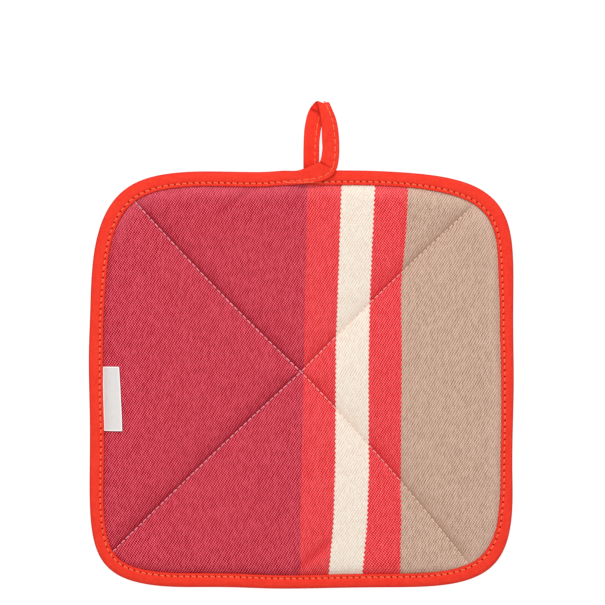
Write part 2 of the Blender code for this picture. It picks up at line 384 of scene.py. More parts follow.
def pad_ring_points(i, j):
    """Where the corner (i, j) of a square grid goes, and its ring, from the crossing out."""
    level = np.maximum(np.abs(i), np.abs(j))
    safe = np.maximum(level, 1)
    panel = np.select((j == level, i == -level, j == -level), (0, 1, 2), 3)
    share = np.choose(panel, (safe - i, safe - j, safe + i, safe + j)) / (2 * safe)
    starts, bows, _ = np.array(QUILTING).T
    following = (panel + 1) % len(QUILTING)
    share = share - SPOKE_PULL * np.sin(tau * share) / tau
    bearing = np.radians(starts[panel] + share * ((starts[following] - starts[panel]) % 360))
    bow = bows[panel] + share * (bows[following] - bows[panel])
    run = edge_point(bearing, binding_face(bearing) + CLEARANCE) - CROSSING
    out = np.minimum(level / RINGS, 1)
    points = CROSSING + out[:, None] * run + bow_at(bow, out)[:, None] * turned_left(unit(run))
    for ring, inset in ((RINGS + 1, HALF_TAPE), (RINGS + 2, PAD_NOSE)):
        points = np.where((level == ring)[:, None], edge_point(bearing, inset), points)
    return points, level


def straightened(points):
    """Where a point of the face lies across the cloth, when its threads are drawn straight."""
    edges = np.array([CLOTH_LEFT, *STRIPE_DRIFTS, CLOTH_RIGHT])
    drifts = [np.interp(points[:, 1], STRIPE_LEVELS, d) for d in STRIPE_DRIFTS.values()]
    left, right = LEFT_LEAN * points[:, 1], np.zeros(len(points))
    seen = edges[:, None] + np.array([left, *drifts, right])
    across = np.empty(len(points))
    for k in range(len(edges) - 1):
        share = (points[:, 0] - seen[k]) / (seen[k + 1] - seen[k])
        inside = (share >= 0) & (share <= 1)
        across[inside] = (edges[k] + share * (edges[k + 1] - edges[k]))[inside]
    return across


def placed(name, data):
    """A new object in the scene."""
    thing = bpy.data.objects.new(name, data)
    bpy.context.scene.collection.objects.link(thing)
    return thing


def mesh_of(name, verts, edges, faces, attributes):
    """A mesh in the row frame, from points in millimetres off the pad's centre."""
    mesh = bpy.data.meshes.new(name)
    mesh.from_pydata(((verts + PAD_CENTRE) * MM).tolist(), edges, faces)
    for key, values in attributes.items():
        layer = mesh.attributes.new(key, "FLOAT_VECTOR", "POINT")
        layer.data.foreach_set("vector", np.asarray(values, np.float32).ravel())
    return mesh


def mesh_piece(name, verts, faces, material, attributes, sharp=180.0):
    """A mesh object, smooth but over edges that bend by more than sharp degrees."""
    mesh = mesh_of(name, verts, [], faces, attributes)
    mesh.validate()
    mesh.shade_smooth()
    mesh.set_sharp_from_angle(angle=radians(sharp))
    mesh.materials.append(material)
    return placed(name, mesh)


def quilted_cover(material):
    """The front and the back, one grid each, that meet inside the tape."""
    rim = RINGS + 2
    side = 2 * rim + 1
    i, j = (grid.ravel() - rim for grid in np.meshgrid(np.arange(side), np.arange(side)))
    points, level = pad_ring_points(i, j)
    on_rim = level == rim
    face, back = [
        np.column_stack((points, np.where(on_rim, EDGE_LEVEL, pad_level(points, front))))
        for front in (True, False)
    ]
    back_index = np.arange(side * side)
    back_index[~on_rim] = side * side + np.arange((~on_rim).sum())
    faces = []
    for row in range(side - 1):
        for column in range(side - 1):
            a = row * side + column
            b, c, d = a + 1, a + side + 1, a + side
            if row == column:
                cell = ((a, b, c), (a, c, d))
            elif row + column == side - 2:
                cell = ((a, b, d), (b, c, d))
            else:
                cell = ((a, b, c, d),)
            faces += cell
            faces += [tuple(int(back_index[v]) for v in reversed(corners)) for corners in cell]
    seam, _, along, _, clear = to_quilting(points)
    inside = 1 + to_lip(points)
    cloth = np.column_stack((straightened(points), points[:, 1], inside))
    back_cloth = np.column_stack((points, -inside))[~on_rim]
    # Offsets from the label's fold side and ends, for its painted shadow on the cloth.
    y = points[:, 1]
    share = np.clip((y - LABEL_MIDDLE) / LABEL_LENGTH + 0.5, 0, 1)
    side_x = label_span(share)[-1]
    half = LABEL_LENGTH / 2
    below, above = LABEL_MIDDLE - half - y, y - LABEL_MIDDLE - half
    label = np.column_stack((points[:, 0] - side_x, below, above))
    # Seam distances, for the needle holes and the painted shade above the rows.
    sewn = np.column_stack((seam, along, clear))
    # Depth in the creases, for the painted shade there; none on the back.
    creased = np.tile(np.maximum(0, pressed_in(points))[:, None], 3)
    places = {
        "cloth": np.vstack((cloth, back_cloth)),
        "sewn": np.vstack((sewn, sewn[~on_rim])),
        "by_label": np.vstack((label, label[~on_rim])),
        "shade": np.vstack((creased, 0 * creased[~on_rim])),
    }
    verts = np.vstack((face, back[~on_rim]))
    return mesh_piece("quilted_cover", verts, faces, material, places)


# ---- the tape ----


def smooth_run(points, shares):
    """Points at shares of a smooth curve through the given points (Catmull-Rom)."""
    points = np.asarray(points, float)
    last = len(points) - 1
    span = np.clip(shares * last, 0, last)
    index = np.minimum(span.astype(int), last - 1)
    t = (span - index)[:, None]
    before, start = points[np.maximum(index - 1, 0)], points[index]
    end, after = points[index + 1], points[np.minimum(index + 2, last)]
    return 0.5 * (
        2 * start
        + (end - before) * t
        + (2 * before - 5 * start + 4 * end - after) * t**2
        + (3 * start - before - 3 * end + after) * t**3
    )


def run_along(line):
    """Length along a line of points, to each of them."""
    steps = norm(np.diff(line, axis=0), axis=1)
    return np.concatenate(((0,), np.cumsum(steps)))


def tape_stations():
    """Fold edge, stitched edge and half thickness of the tape, from its start to its tail."""
    fine = np.radians(np.linspace(TAPE_START, TAPE_LEAVES, OUTLINE_STEPS))
    length = run_along(edge_point(fine))
    count = int(length[-1] / TAPE_STEP)
    run = np.linspace(0, length[-1], count)
    bearing = np.interp(run, length, fine)
    tucked = np.clip(1 - run / TUCK_RUN, 0, 1) ** 0.7  # 1 at its first end
    face = binding_face(bearing)
    level = np.full(count, EDGE_LEVEL)
    fold = np.column_stack((edge_point(bearing, TUCKED_IN * tucked), level))
    stitched = np.column_stack((edge_point(bearing, face - 0.5 * tucked), level))
    half = HALF_TAPE - TUCKED_IN * tucked
    last = count - 1
    controls = [(*fold[k], *stitched[k], half[k]) for k in (last - LEAVING, last)]
    controls += [(x, y, z, seam_x, seam_y, z, thick) for seam_x, seam_y, x, y, z, thick in LOOP]
    first = 1 / (len(controls) - 1)
    loop = smooth_run(controls, np.linspace(first, 1, LOOP_STATIONS)[1:])
    return (
        np.vstack((fold, loop[:, 0:3])),
        np.vstack((stitched, loop[:, 3:6])),
        np.concatenate((half, loop[:, 6])),
    )


NEAR_LIP = (0.0, 0.25, 0.65)
NEAR_SEAM = (-0.5, -0.22, 0.0, 0.22, 0.5)
PAST_SEAM = (0.25, 0.5, 0.75, 1.0)
NOSE_TURNS = np.radians(np.linspace(90, -90, 13))[1:-1]


def tape_face(half, d, seam_in, length):
    """Height of the tape's face over its mid-plane at a distance in from the lip."""
    lip = np.clip(half * 0.2, 0.15, 0.5) * np.exp(-d / LIP_EASE)
    groove = np.clip(half * 0.25, 0.18, 0.5) * np.exp(-(((d - seam_in) / FURROW) ** 2))
    body = np.clip((d - seam_in) / (length - seam_in), 0, 1)
    return half - lip - groove + TAPE_SWELL * np.sin(pi * body) - SLACK


def tape_section(width, half, seam_in):
    """(distance from the fold, height) round the outside of the tape, and its inner wall."""
    wall = np.minimum(TAPE_WALL, half - 0.08)
    straight = width - half
    steps = [np.full(len(width), step) for step in NEAR_LIP]
    steps += [seam_in + step for step in NEAR_SEAM]
    steps += [steps[-1] + share * (straight - steps[-1]) for share in PAST_SEAM]
    layers = []
    for thinner in (0.0, wall):
        faced = []
        for d in steps:
            inset = thinner * (1 - 0.4 * np.exp(-d / 0.5))
            faced.append((width - d, tape_face(half, d, seam_in, straight) - inset))
        round_half = half - thinner
        nose = [(half - round_half * cos(t), (round_half - SLACK) * sin(t)) for t in NOSE_TURNS]
        layers.append(np.array(faced + nose + [(a, -b) for a, b in reversed(faced)]))
    return layers


def by_point(shape, *parts):
    """A row for each point of a swept section, with what each part says there."""
    return np.column_stack([np.broadcast_to(part, shape).T.ravel() for part in parts])


def folded_faces(stations, count):
    """Faces of a folded strip whose sections run round the outside and back inside."""
    ring = 2 * count
    faces = []
    for k in range(stations - 1):
        for m in range(ring):
            n = (m + 1) % ring
            faces.append((k * ring + m, k * ring + n, (k + 1) * ring + n, (k + 1) * ring + m))
    for k, turn in ((0, 1), (stations - 1, -1)):
        for m in range(count - 1):
            corners = (m, ring - 1 - m, ring - 2 - m, m + 1)
            faces.append(tuple(k * ring + c for c in corners[::turn]))
    return faces


def loop_creased(verts):
    """The loop with its sagging top, the crease across the strand behind and the pleat at its
    root. Also its painted shade: in the crease, the pleat and the foot of the strand behind."""
    near_top = np.clip((verts[:, 1] - TOP_SAG.y) / TOP_SAG.height + 1, 0, 1)
    from_sag = (verts[:, 0] - TOP_SAG.x) / TOP_SAG.width
    verts[:, 1] -= TOP_SAG.depth * near_top * np.exp(-(from_sag**2))
    on_loop = verts[:, 1] > LOOP_FROM
    behind = on_loop & (verts[:, 2] < UNDER_LOOP)
    shade = np.zeros(len(verts))
    for crease, part in (
        (LOOP_CREASE, behind & (verts[:, 1] > CREASED_FROM)),
        (ROOT_PLEAT, on_loop & ~behind & (verts[:, 1] < PLEAT_TO)),
    ):
        depth = pressed(crease, verts[part, :2])
        verts[part, 2] -= depth
        shade[part] = np.clip(depth / crease.depth, 0, 1)
    start, end = FOOT
    foot = np.clip((start - verts[behind, 1]) / (start - end), 0, 1)
    shade[behind] = np.maximum(shade[behind], FOOT_SHADE * foot**1.5)
    return verts, shade


def stitch_counts(line, pitch):
    """The count of stitches along a line of points, when it is sewn in whole stitches."""
    length = run_along(line)
    return length / length[-1] * round(length[-1] / pitch)


def binding_tape(material):
    """One tape round the pad's edge that runs on as the hanging loop. Also its stitch lines:
    those of the pad, of the loop and of the loop's root."""
    fold, stitched, half = tape_stations()
    stations = len(half)
    leaves = stations - LOOP_STATIONS
    width = norm(stitched - fold, axis=1)
    inward = (stitched - fold) / width[:, None]
    along = unit(np.gradient((fold + stitched) / 2, axis=0))
    normal = unit(np.cross(inward, along))
    beyond = np.clip((np.arange(stations) - leaves + LEAVING + 1) / CHANGE_OVER, 0, 1)
    seam_in = SEAM_IN + (LOOP_SEAM_IN - SEAM_IN) * beyond
    seam = stitched - seam_in[:, None] * inward
    run = run_along(seam)
    face = tape_face(half, seam_in, seam_in, width - half)
    sides = [(seam + s * face[:, None] * normal, s * normal) for s in (1, -1)]

    outer, inner = tape_section(width, half, seam_in)  # (points, 2, stations)
    section = np.concatenate((outer, inner[::-1]))
    side = np.where(section[:, 1] < 0, -1, 1)
    in_from_lip = width - section[:, 0]
    rows = zip(in_from_lip, side * SIDES_APART)
    ripple = np.array([waves(np.column_stack((run, x, z)), RIPPLE) for x, z in rows])
    counts = []
    for line, _ in sides:
        on_pad = stitch_counts(line[: leaves + 1], TAPE_PITCH)
        on_loop = stitch_counts(line[leaves:], LOOP_PITCH)
        counts.append(np.concatenate((on_pad, on_pad[-1] + on_loop[1:])))
    count = np.where(side > 0, *counts)
    from_seam = in_from_lip - seam_in
    pinch = np.cos(tau * count) * np.exp(-((from_seam / PINCH_REACH) ** 2))
    height = section[:, 1] + side * (ripple + PINCH * pinch)
    verts = fold + section[:, 0][..., None] * inward + height[..., None] * normal
    verts, shade = loop_creased(verts.transpose(1, 0, 2).reshape(-1, 3))
    faces = [corners[::-1] for corners in folded_faces(stations, len(outer))]

    places = {
        "tape": by_point(count.shape, run, in_from_lip, section[:, 1] / half),
        "sewn": by_point(count.shape, from_seam, count, 1 - 0.88 * beyond),
        # painted shade of the loop's crease, pleat and foot
        "shade": np.tile(shade[:, None], 3),
    }
    piece = mesh_piece("binding_tape", verts, faces, material, places)
    outside = BVHTree.FromPolygons(verts.tolist(), faces)
    spots = np.linspace(*FIXING, 40)
    tops = [outside.ray_cast(Vector((x, y, 30.0)), Vector((0, 0, -1)))[0].z for x, y in spots]
    root = (np.column_stack((spots, tops)), np.tile((0.0, 0.0, 1.0), (len(spots), 1)))
    on_pad = [(line[: leaves + 1], up[: leaves + 1]) for line, up in sides]
    on_loop = [(line[leaves:], up[leaves:]) for line, up in sides]
    return piece, on_pad, on_loop, [root]


# ---- the label ----


def label_span(share):
    """The level a share of the way up the label, and where its cut ends and its fold lie."""
    y = LABEL_MIDDLE + (share - 0.5) * LABEL_LENGTH
    bearing = np.arctan2(y, -WIDTH / 2)
    cut = edge_point(bearing, binding_face(bearing) - LABEL_TUCK)[..., 0]
    return y, cut, cut + LABEL_TUCK + LABEL_REACH + LABEL_FLARE * (1 - share**2.8)


def satin_label(material):
    """A strip folded in two: its cut ends are under the tape, and its fold is the free side."""
    u = np.linspace(0, 1, 12)
    v = np.linspace(0, 1, 30)[:, None]
    y, cut, fold = label_span(v)
    reach = fold - cut
    under = 1 - np.clip(u * reach / LABEL_DROP, 0, 1)
    points = np.stack(np.broadcast_arrays(cut + u * reach, y), axis=-1).reshape(-1, 2)
    base = pad_level(points, True).reshape(under.shape) + 0.1
    base = base + LABEL_LIFT * u**2 + LABEL_CURL * u * (2 * v - 1) ** 2 + LABEL_PLY
    base = base * (1 - under) + (EDGE_LEVEL + PAD_EDGE_HALF + CLEARANCE) * under
    turns = np.radians(np.linspace(90, -90, 7))[1:-1]
    layers = []
    for thick in (LABEL_PLY + LABEL_GAP, LABEL_GAP):
        bend = [(1 + thick * cos(t) / reach[:, 0], base[:, -1] + thick * sin(t)) for t in turns]
        top = [(np.full(len(v), share), base[:, k] + thick) for k, share in enumerate(u)]
        bottom = [(share, level - 2 * thick) for share, level in reversed(top)]
        layers.append(top + bend + bottom)
    section = np.array(layers[0] + layers[1][::-1])  # (points, 2, rows)
    across = section[:, 0] * reach[:, 0]
    verts = by_point(across.shape, cut[:, 0] + across, y[:, 0], section[:, 1])
    count = len(layers[0])
    side = np.ones(across.shape)
    side[len(u) + len(turns) : count + len(u)] = -1
    down = v[:, 0] * LABEL_LENGTH
    woven = by_point(across.shape, reach[:, 0] - across, down, side * across)
    faces = folded_faces(len(v), count)
    return mesh_piece("satin_label", verts, faces, material, {"label": woven}, sharp=50.0)


# ---- nodes ----


class Wire:
    """A node's output. Sums on wires, such as 1 - mask, add Math nodes to the same tree."""

    def __init__(self, board, socket):
        self.board, self.socket = board, socket

    def __add__(self, other):
        return self.board.math("ADD", self, other)

    def __sub__(self, other):
        return self.board.math("SUBTRACT", self, other)

    def __rsub__(self, other):
        return self.board.math("SUBTRACT", other, self)

    def __mul__(self, other):
        return self.board.math("MULTIPLY", self, other)

    def __truediv__(self, other):
        return self.board.math("DIVIDE", self, other)

    def __pow__(self, other):
        return self.board.math("POWER", self, other)

    __radd__ = __add__
    __rmul__ = __mul__


class Board:
    """Adds nodes to a shader's tree or to a Geometry Nodes tree."""

    def __init__(self, tree):
        self.tree = tree

    def add(self, kind, settings=None, inputs=None, output=0):
        node = self.tree.nodes.new(kind)
        for name, value in (settings or {}).items():
            if name == "stops":
                ramp = node.color_ramp
                ramp.interpolation = "CONSTANT"
                while len(ramp.elements) < len(value):
                    ramp.elements.new(1.0)
                for element, (place, colour) in zip(ramp.elements, value):
                    element.position, element.color = place, colour
            else:
                setattr(node, name, value)
        for name, value in (inputs or {}).items():
            if isinstance(value, Wire):
                self.tree.links.new(value.socket, node.inputs[name])
            else:
                node.inputs[name].default_value = value
        return Wire(self, node.outputs[output])

    def math(self, operation, first, second=0.0):
        return self.add("ShaderNodeMath", {"operation": operation}, {0: first, 1: second})

    def split(self, name):
        """The three parts of a vector attribute of the mesh."""
        vector = self.add("ShaderNodeAttribute", {"attribute_name": name}, output="Vector")
        parted = self.add("ShaderNodeSeparateXYZ", {}, {0: vector}).socket.node
        return [Wire(self, part) for part in parted.outputs]

    def join(self, x, y, z=0.0):
        return self.add("ShaderNodeCombineXYZ", {}, {0: x, 1: y, 2: z})

    def blend(self, factor, first, second):
        """One colour into another."""
        settings = {"data_type": "RGBA"}
        return self.add("ShaderNodeMix", settings, {0: factor, 6: first, 7: second}, 2)

    def ease(self, value, low, high):
        """0 below low and 1 above high, smooth between."""
        settings = {"interpolation_type": "SMOOTHSTEP"}
        return self.add("ShaderNodeMapRange", settings, {0: value, 1: low, 2: high})

    def speckle(self, place, scale, detail=2.0):
        """Cloudy noise from 0 to 1."""
        inputs = {"Vector": place, "Scale": scale, "Detail": detail}
        return self.add("ShaderNodeTexNoise", {"noise_dimensions": "3D"}, inputs)


def linear(colour):
    """A linear colour from one told in screen values, 0 to 255."""
    shares = np.asarray(colour, float) / 255
    bent = np.where(shares <= 0.04045, shares / 12.92, ((shares + 0.055) / 1.055) ** 2.4)
    return (*bent.tolist(), 1.0)


def finish_of(name, colour, roughness, specular, sheen=0.0):
    """A material with its Principled shader's fixed values set, and a board on its tree."""
    material = bpy.data.materials.new(name)
    material.use_nodes = True
    material.diffuse_color = linear(colour)
    shader = material.node_tree.nodes["Principled BSDF"]
    fixed = {"Base Color": linear(colour), "Roughness": roughness, "Sheen Roughness": 0.5}
    fixed.update({"Specular IOR Level": specular, "Sheen Weight": sheen})
    for socket, value in fixed.items():
        shader.inputs[socket].default_value = value
    return material, shader, Board(material.node_tree)


def connect(board, shader, colour, height, relief, polish):
    """Colour, roughness and bump into a shader. Height runs from 0 to 1, and relief is its size
    in mm. The roughness falls by polish from the hollows to the crests."""
    tree = board.tree
    tree.links.new(colour.socket, shader.inputs["Base Color"])
    rough = shader.inputs["Roughness"]
    worn = (0.5 - board.ease(height, 0.0, 1.0)) * polish + rough.default_value
    tree.links.new(worn.socket, rough)
    raised = {"Height": height, "Distance": relief * MM, "Strength": 1.0}
    bump = board.add("ShaderNodeBump", {}, raised)
    tree.links.new(bump.socket, shader.inputs["Normal"])


def needle_hole(board, beside, stitches, pitch, size):
    """1 in the small pits between stitches, told by a count of stitches along the line."""
    along = board.math("PINGPONG", stitches + 0.5, 0.5) * pitch
    away = board.math("SQRT", beside * beside + along * along)
    return 1.0 - board.ease(away, size * 0.4, size)


def across_cloth(board, across, bands):
    """Bands of colour, each told by where it starts across the face's cloth."""
    width = CLOTH_RIGHT - CLOTH_LEFT
    stops = [((start - CLOTH_LEFT) / width, colour) for start, colour in bands]
    return board.add("ShaderNodeValToRGB", {"stops": stops}, {0: (across - CLOTH_LEFT) / width})


def striped_twill():
    material, shader, board = finish_of("striped_twill_cotton", (203, 66, 83), 0.9, 0.03)
    across, along, side = board.split("cloth")
    seam, down_row, clear = board.split("sewn")
    wander = board.speckle(board.join(across, along), 0.05) - 0.5
    across = across + wander * 0.5
    along = along + wander * 0.8
    column = board.math("FLOOR", across / WARP_PITCH)
    in_column = across / WARP_PITCH - column
    climb = along / RIB_RISE - column / 3
    off_dip = board.math("PINGPONG", climb, 0.5)
    dip = 1.0 - board.ease(off_dip, 0.03, 0.17)
    roundness = board.math("SINE", in_column * pi)
    rib = board.math("FLOOR", climb)
    cell = board.join(column, rib)
    chance = board.add("ShaderNodeTexWhiteNoise", {"noise_dimensions": "2D"}, {"Vector": cell})
    height = (1.0 - dip) * (roundness * 0.45 + 0.55)

    place = (column + (climb - rib) * 1.4 - 0.2) * WARP_PITCH
    face = board.ease(side, -0.2, 0.2)

    def banded(part):
        """A colour of the yarns in the stripes of the face, and of the wine one on the back."""
        colours = [(start, linear(yarn[part])) for start, yarn in STRIPES]
        return board.blend(face, colours[0][1], across_cloth(board, place, colours))

    crest, body, hollow, fold = [banded(part) for part in range(4)]
    dots = [(start, (yarn.dots, yarn.dots, yarn.dots, 1.0)) for start, yarn in STRIPES]
    dots = across_cloth(board, place, dots)
    cloudy = board.speckle(board.join(across, along, side), 0.09, 4.0)
    ribs = board.math("COSINE", climb * tau) * (0.52 - dots * 0.45)
    tone = board.math("COSINE", climb * (2 * tau)) * dots + ribs + 0.5
    tone = tone + (chance - 0.5) * 0.28 + (cloudy - 0.5) * 0.12
    colour = board.blend(board.ease(tone, -0.1, 0.55), hollow, body)
    colour = board.blend(board.ease(tone, 0.45, 1.1), colour, crest)
    # Painted shade above each quilting row, where the panel slopes away from the light above;
    # it fades out towards a row on the other side.
    upper = board.ease(seam, -0.7, 0.35) * board.ease(clear, 0.0, 0.6)
    painted_shade = upper * (1.0 - board.ease(seam, 0.5, 2.4)) * ROW_SHADE
    painted_shade = upper * (1.0 - board.ease(seam, 0.0, 9.0)) * PANEL_SHADE + painted_shade
    # The needle holes, sunk by the bump and given painted shade below.
    hole = needle_hole(board, seam, down_row, QUILT_PITCH, QUILT_NEEDLE)
    from_lip = board.math("ABSOLUTE", side) - 1.0
    # Painted shade along the tape's lower lip:
    painted_lip_shade = (1.0 - board.ease(from_lip, 0.2, 0.9)) * board.ease(along, -70.0, -84.0)
    # Painted shade in the creases, from their depth:
    creased, _, _ = board.split("shade")
    for shade in (creased * CREASE_SHADE, painted_lip_shade * LIP_SHADE, hole * HOLE_SHADE):
        painted_shade = board.math("MAXIMUM", painted_shade, shade)
    colour = board.blend(painted_shade, colour, fold)
    # Painted highlight along the upper and right lips, in the crests' colour.
    far = board.math("MAXIMUM", board.ease(along, 55.0, 80.0), board.ease(across, 50.0, 80.0))
    painted_lip_light = (1.0 - board.ease(from_lip, 0.5, 8.0)) * far * LIP_LIGHT
    colour = board.blend(painted_lip_light, colour, crest)
    # Painted shadow beside the label's fold and lower end, with a little more painted shade in
    # the needle holes, in one dark colour.
    aside, below, above = board.split("by_label")
    aside, below = board.math("MAXIMUM", aside, 0.0), board.math("MAXIMUM", below, 0.0)
    away = board.math("SQRT", aside * aside + below * below)
    by_label = (1.0 - board.ease(away, 0.1, 0.8)) * (1.0 - board.ease(above, -1.2, -0.3)) * face
    colour = board.blend(hole * 0.1 + by_label * LABEL_SHADE, colour, linear((60, 6, 10)))
    connect(board, shader, colour, height - hole, 0.16, 0.12)
    return material


def red_tape():
    material, shader, board = finish_of("red_cotton_tape", (247, 66, 48), 0.85, 0.06)
    run, girth, level = board.split("tape")
    from_seam, stitches, pierced = board.split("sewn")
    creased, _, _ = board.split("shade")
    side = board.ease(level, -0.1, 0.1)
    # Where the painted shade of the rounded rim and of the inner lip lies:
    rim = 1.0 - board.ease(board.math("ABSOLUTE", level), 0.25, 0.85)
    lip = 1.0 - board.ease(girth, 0.0, 0.45)
    cloudy = board.speckle(board.join(run, girth * 2.0, side * 5.0), 0.25, 4.0)
    fine = board.speckle(board.join(run, girth, side * 5.0), 1.3, 3.0)
    turns = tau / TAPE_WEAVE
    weave = board.math("SINE", run * turns) * board.math("SINE", girth * turns)
    hole = needle_hole(board, from_seam, stitches, TAPE_PITCH, TAPE_NEEDLE) * pierced
    light = board.blend(cloudy, linear((238, 52, 38)), linear((255, 74, 54)))
    shade = board.blend(board.ease(fine, 0.3, 0.75) * 0.3, light, linear((212, 32, 26)))
    # Painted shade at the tape's rounded rim and along its inner lip, stronger on the loop.
    edge = board.math("MAXIMUM", rim, lip) * (0.85 - pierced * 0.35)
    shade = board.blend(edge, shade, linear((176, 22, 16)))
    # Painted shade in the loop's crease and pleat, and on the foot of the strand behind.
    shade = board.blend(creased * 0.6, shade, linear((158, 8, 10)))
    # Painted shade in the needle holes, which the bump also sinks.
    colour = board.blend(hole * 0.85, shade, linear((150, 0, 0)))
    connect(board, shader, colour, weave * 0.2 + fine * 0.8 - hole * 3.0, 0.06, 0.14)
    return material


def white_satin():
    material, shader, board = finish_of("white_satin_ribbon", (228, 222, 220), 0.45, 0.4, 0.1)
    across, along, from_cut = board.split("label")
    rib = board.math("SINE", along * (tau / SATIN_RIB))
    cloudy = board.speckle(board.join(across, along, from_cut), 0.5, 3.0)
    inward = board.math("MINIMUM", along, LABEL_LENGTH - along)
    inward = board.math("MINIMUM", inward, across + 0.2)
    from_lip = board.math("ABSOLUTE", from_cut) - LABEL_TUCK
    inward = board.math("MINIMUM", inward, board.math("MAXIMUM", from_lip, 0.0) + 0.1)
    # A lighter border: the satin's selvedges at top and bottom, and a painted highlight along
    # its fold and where it comes out from under the tape.
    border = 1.0 - board.ease(inward, 0.3, 0.75)
    colour = board.blend(cloudy, linear((220, 216, 214)), linear((232, 227, 225)))
    colour = board.blend(border, colour, linear((255, 251, 249)))
    connect(board, shader, colour, rib * 0.5 + 0.5, 0.02, 0.12)
    return material


def thread(name, colour, among=()):
    """Twisted thread, of one colour or of (where it starts, colour) among the cloth's stripes,
    as fine thread takes up the colour of the yarns beside it."""
    material, shader, board = finish_of(name, colour, 0.8, 0.06)
    around, down, _ = board.split("ply")
    twist = board.math("SINE", (around + down * 3.0) * tau)
    light = linear(colour)
    if among:
        place = board.add("ShaderNodeTexCoord", output="Object")
        across = board.add("ShaderNodeSeparateXYZ", {}, {0: place}) / MM
        light = across_cloth(board, across, [(start, linear(part)) for start, part in among])
    shade = board.blend(twist * 0.03 + 0.03, light, (0.0, 0.0, 0.0, 1.0))
    connect(board, shader, shade, twist * 0.5 + 0.5, 0.05, 0.12)
    return material


# ---- stitches ----

STITCH_SIZES = ("Pitch", "Length", "Thickness", "Rise", "Sink", "Slant", "Stray")
STITCH_BENDS = 8
STITCH_SIDES = 7
STITCH_FLATNESS = 0.5


def stitch_tree():
    """Lays a stitch at each pitch along every line of a wire mesh that carries its 'up'."""
    tree = bpy.data.node_groups.new("row_of_stitches", "GeometryNodeTree")
    face = tree.interface
    face.new_socket("Lines", in_out="INPUT", socket_type="NodeSocketGeometry")
    for name in STITCH_SIZES:
        face.new_socket(name, in_out="INPUT", socket_type="NodeSocketFloat")
    face.new_socket("Seed", in_out="INPUT", socket_type="NodeSocketInt")
    face.new_socket("Thread", in_out="INPUT", socket_type="NodeSocketMaterial")
    face.new_socket("Stitches", in_out="OUTPUT", socket_type="NodeSocketGeometry")
    board = Board(tree)
    source = tree.nodes.new("NodeGroupInput")
    given = {socket.name: Wire(board, socket) for socket in source.outputs[:-1]}

    def stored(geometry, name, value, kind="FLOAT"):
        settings = {"data_type": kind, "domain": "POINT"}
        inputs = {"Geometry": geometry, "Name": name, "Value": value}
        return board.add("GeometryNodeStoreNamedAttribute", settings, inputs)

    def named(name, kind="FLOAT"):
        return board.add("GeometryNodeInputNamedAttribute", {"data_type": kind}, {"Name": name})

    bent = board.add(
        "GeometryNodeCurveQuadraticBezier",
        {},
        {
            "Resolution": STITCH_BENDS,
            "Start": board.join(given["Length"] * -0.5, 0.0, given["Sink"] * -1.0),
            "Middle": board.join(0.0, 0.0, given["Rise"] * 2.0 + given["Sink"]),
            "End": board.join(given["Length"] * 0.5, 0.0, given["Sink"] * -1.0),
        },
    )
    factor = board.add("GeometryNodeSplineParameter", {}, {}, "Factor")
    ends = board.math("ABSOLUTE", factor * 2.0 - 1.0)
    radius = 1.0 - ends**4.0 * 0.4
    bent = board.add("GeometryNodeSetCurveRadius", {}, {"Curve": bent, "Radius": radius})
    bent = stored(bent, "down", factor)
    ring = {"Resolution": STITCH_SIDES, "Radius": given["Thickness"] / 2.0}
    strand = board.add("GeometryNodeCurvePrimitiveCircle", {"mode": "RADIUS"}, ring)
    strand = stored(strand, "around", factor)
    swept = {"Curve": bent, "Profile Curve": strand, "Fill Caps": True}
    stitch = board.add("GeometryNodeCurveToMesh", {}, swept)
    stitch = stored(stitch, "ply", board.join(named("around"), named("down")), "FLOAT_VECTOR")

    curve = board.add("GeometryNodeMeshToCurve", {}, {"Mesh": given["Lines"]})
    length = board.add("GeometryNodeSplineLength", {}, {}, "Length")
    count = board.math("ROUND", length / given["Pitch"]) + 1.0
    spaced = {"Curve": curve, "Count": count}
    curve = board.add("GeometryNodeResampleCurve", {"mode": "COUNT"}, spaced)
    heading = board.add("GeometryNodeInputTangent")
    axes = {"primary_axis": "X", "secondary_axis": "Z"}
    aims = {"Primary Axis": heading, "Secondary Axis": named("up", "FLOAT_VECTOR")}
    turn = board.add("FunctionNodeAxesToRotation", axes, aims)

    def stray(extra):
        return board.add(
            "FunctionNodeRandomValue",
            {"data_type": "FLOAT"},
            {2: given["Stray"] * -1.0, 3: given["Stray"], "Seed": given["Seed"] + extra},
            1,
        )

    yaw = board.join(0.0, 0.0, given["Slant"] + stray(0.0))
    yaw = board.add("FunctionNodeEulerToRotation", {}, {0: yaw})
    turned = {"Rotation": turn, "Rotate By": yaw}
    turn = board.add("FunctionNodeRotateRotation", {"rotation_space": "LOCAL"}, turned)
    grown = stray(1.0) + 1.0
    size = board.join(grown, grown, STITCH_FLATNESS)
    spread = {"Points": curve, "Instance": stitch, "Rotation": turn, "Scale": size}
    sewn = board.add("GeometryNodeInstanceOnPoints", {}, spread)
    sewn = board.add("GeometryNodeRealizeInstances", {}, {"Geometry": sewn})
    sewn = board.add("GeometryNodeSetShadeSmooth", {}, {"Geometry": sewn})
    dyed = {"Geometry": sewn, "Material": given["Thread"]}
    sewn = board.add("GeometryNodeSetMaterial", {}, dyed)
    sink = tree.nodes.new("NodeGroupOutput")
    tree.links.new(sewn.socket, sink.inputs[0])
    return tree


